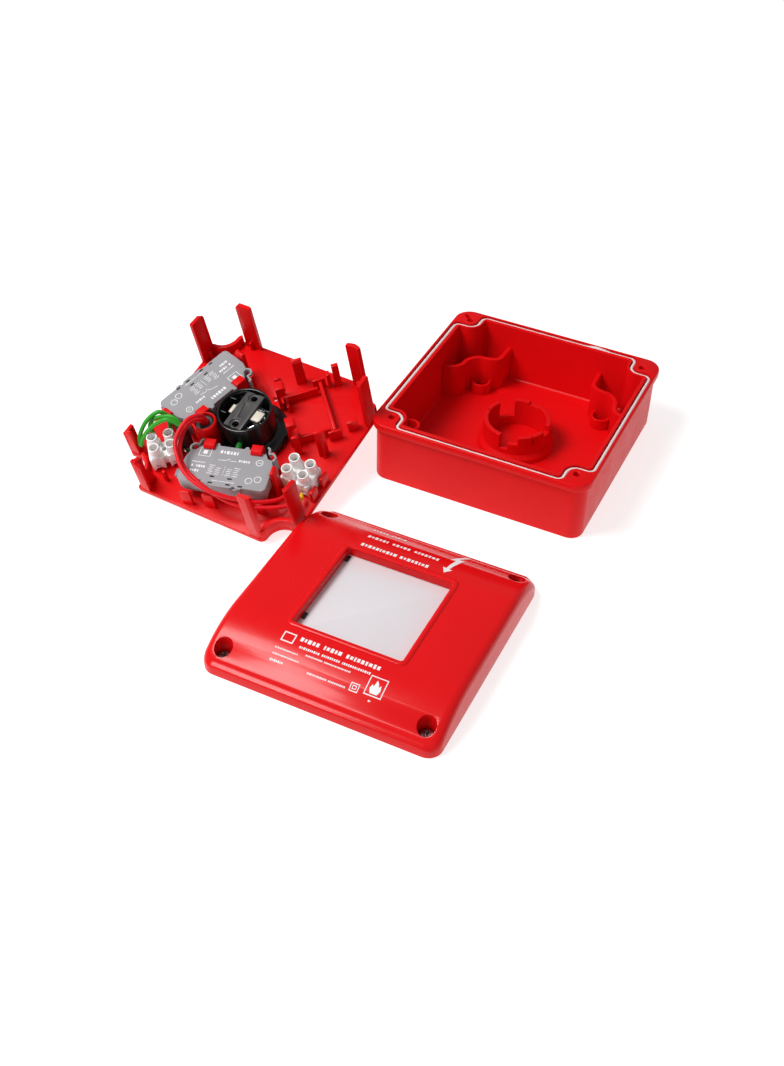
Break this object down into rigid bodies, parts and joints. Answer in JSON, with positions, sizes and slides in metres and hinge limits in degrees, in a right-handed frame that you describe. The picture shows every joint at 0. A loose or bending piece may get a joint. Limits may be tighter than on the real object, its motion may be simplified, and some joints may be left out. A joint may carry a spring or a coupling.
{
  "type": "manual call point",
  "caption": "Opened red manual fire call point: flanged wall box with gasket, arched cover with window pane, and a carrier panel with push button, contact blocks and lamp wiring.",
  "frame": {"origin": "centre of the base box's flat wall face", "axes": "+Z out of the wall face through the open mouth of the base box, +Y towards the back of the laid-out parts, +X to the right"},
  "size_m": [0.2145, 0.2517, 0.0587],
  "materials": {
    "red_plastic": "satin moulded red plastic",
    "red_plastic_gloss": "glossy moulded red plastic with a soft sheen",
    "gasket_foam": "off-white soft sealing cord",
    "pane_glass": "pale translucent pane",
    "black_plastic": "matte black plastic",
    "black_gloss": "glossy black plastic",
    "smoky_plastic": "smoky dark plastic",
    "grey_plastic": "matte mid-grey plastic with white printing",
    "dark_grey_plastic": "matte darker grey plastic",
    "white_plastic": "matte white plastic",
    "green_plastic": "matte green plastic",
    "red_plunger": "matte red plastic",
    "screw_steel": "plated steel",
    "spring_steel": "drawn spring wire",
    "black_rubber": "soft black rubber",
    "lamp_red": "clear red lamp lens",
    "lamp_green": "clear green lamp lens",
    "ferrule_yellow": "yellow sleeve of a crimped wire end",
    "wire_red": "red soft cable insulation",
    "wire_green": "green soft cable insulation"
  },
  "bodies": {
    "base": {"base_box": "red_plastic", "base_gasket": "gasket_foam"},
    "cover": {"front_cover": "red_plastic_gloss", "window_glass": "pane_glass", "glass_clip_1": "black_plastic", "glass_clip_2": "black_plastic"},
    "screw_1": {"cover_screw_1": "screw_steel"},
    "screw_2": {"cover_screw_2": "screw_steel"},
    "screw_3": {"cover_screw_3": "screw_steel"},
    "screw_4": {"cover_screw_4": "screw_steel"},
    "panel": {"inner_panel": "red_plastic", "button_housing": "black_gloss", "button_bezel": "black_gloss", "button_bridge": "smoky_plastic", "bridge_latch_left": "white_plastic", "bridge_latch_right": "white_plastic", "button_spring": "spring_steel", "contact_no_case": "grey_plastic", "contact_nc_case": "grey_plastic", "contact_no_carrier": "dark_grey_plastic", "contact_nc_carrier": "dark_grey_plastic", "grommet_1": "black_rubber", "grommet_2": "black_rubber", "lamp_1": "lamp_red", "lamp_2": "lamp_green", "terminal_block_left": "white_plastic", "terminal_block_right": "white_plastic", "terminal_screw_left_1": "screw_steel", "terminal_screw_left_2": "screw_steel", "terminal_screw_left_3": "screw_steel", "terminal_screw_left_4": "screw_steel", "terminal_screw_right_1": "screw_steel", "terminal_screw_right_2": "screw_steel", "terminal_screw_right_3": "screw_steel", "terminal_screw_right_4": "screw_steel", "ferrule_1": "ferrule_yellow", "ferrule_2": "ferrule_yellow", "ferrule_3": "ferrule_yellow", "ferrule_4": "ferrule_yellow", "red_wire_1": "wire_red", "red_wire_2": "wire_red", "green_wire_1": "wire_green", "green_wire_2": "wire_green"},
    "button": {"push_button_cap": "black_gloss", "button_stem": "black_plastic"},
    "no_plunger": {"plunger_no": "green_plastic"},
    "nc_plunger": {"plunger_nc": "red_plunger"}
  },
  "joints": [
    {"name": "cover_lift", "type": "slide", "parent": "base", "child": "cover", "axis": [0, 0, 1], "range_m": [0, 0.12]},
    {"name": "panel_lift", "type": "slide", "parent": "base", "child": "panel", "axis": [0, 0, 1], "range_m": [0, 0.12]},
    {"name": "button_press", "type": "slide", "parent": "panel", "child": "button", "axis": [-0.012, -0.2721, 0.9622], "range_m": [0, 0.006], "stiffness_N_per_m": 400, "springref_m": -0.004, "deforming": ["button_spring"]},
    {"name": "no_plunger_slide", "type": "slide", "parent": "panel", "child": "no_plunger", "axis": [0.1876, -0.9458, -0.2652], "range_m": [0, 0.0016]},
    {"name": "nc_plunger_slide", "type": "slide", "parent": "panel", "child": "nc_plunger", "axis": [-0.9444, 0.3193, 0.0786], "range_m": [0, 0.0016]},
    {"name": "screw_turn_1", "type": "hinge", "parent": "cover", "child": "screw_1", "pos_m": [0.04, -0.0973, 0.005], "axis": [0, 0, 1], "continuous": true},
    {"name": "screw_turn_2", "type": "hinge", "parent": "cover", "child": "screw_2", "pos_m": [0.04, -0.1893, 0.005], "axis": [0, 0, 1], "continuous": true},
    {"name": "screw_turn_3", "type": "hinge", "parent": "cover", "child": "screw_3", "pos_m": [-0.052, -0.0973, 0.005], "axis": [0, 0, 1], "continuous": true},
    {"name": "screw_turn_4", "type": "hinge", "parent": "cover", "child": "screw_4", "pos_m": [-0.052, -0.1893, 0.005], "axis": [0, 0, 1], "continuous": true}
  ],
  "couplings": [
    {"joint": "no_plunger_slide", "follows": "button_press", "ratio": 0.25},
    {"joint": "nc_plunger_slide", "follows": "button_press", "ratio": 0.25}
  ]
}
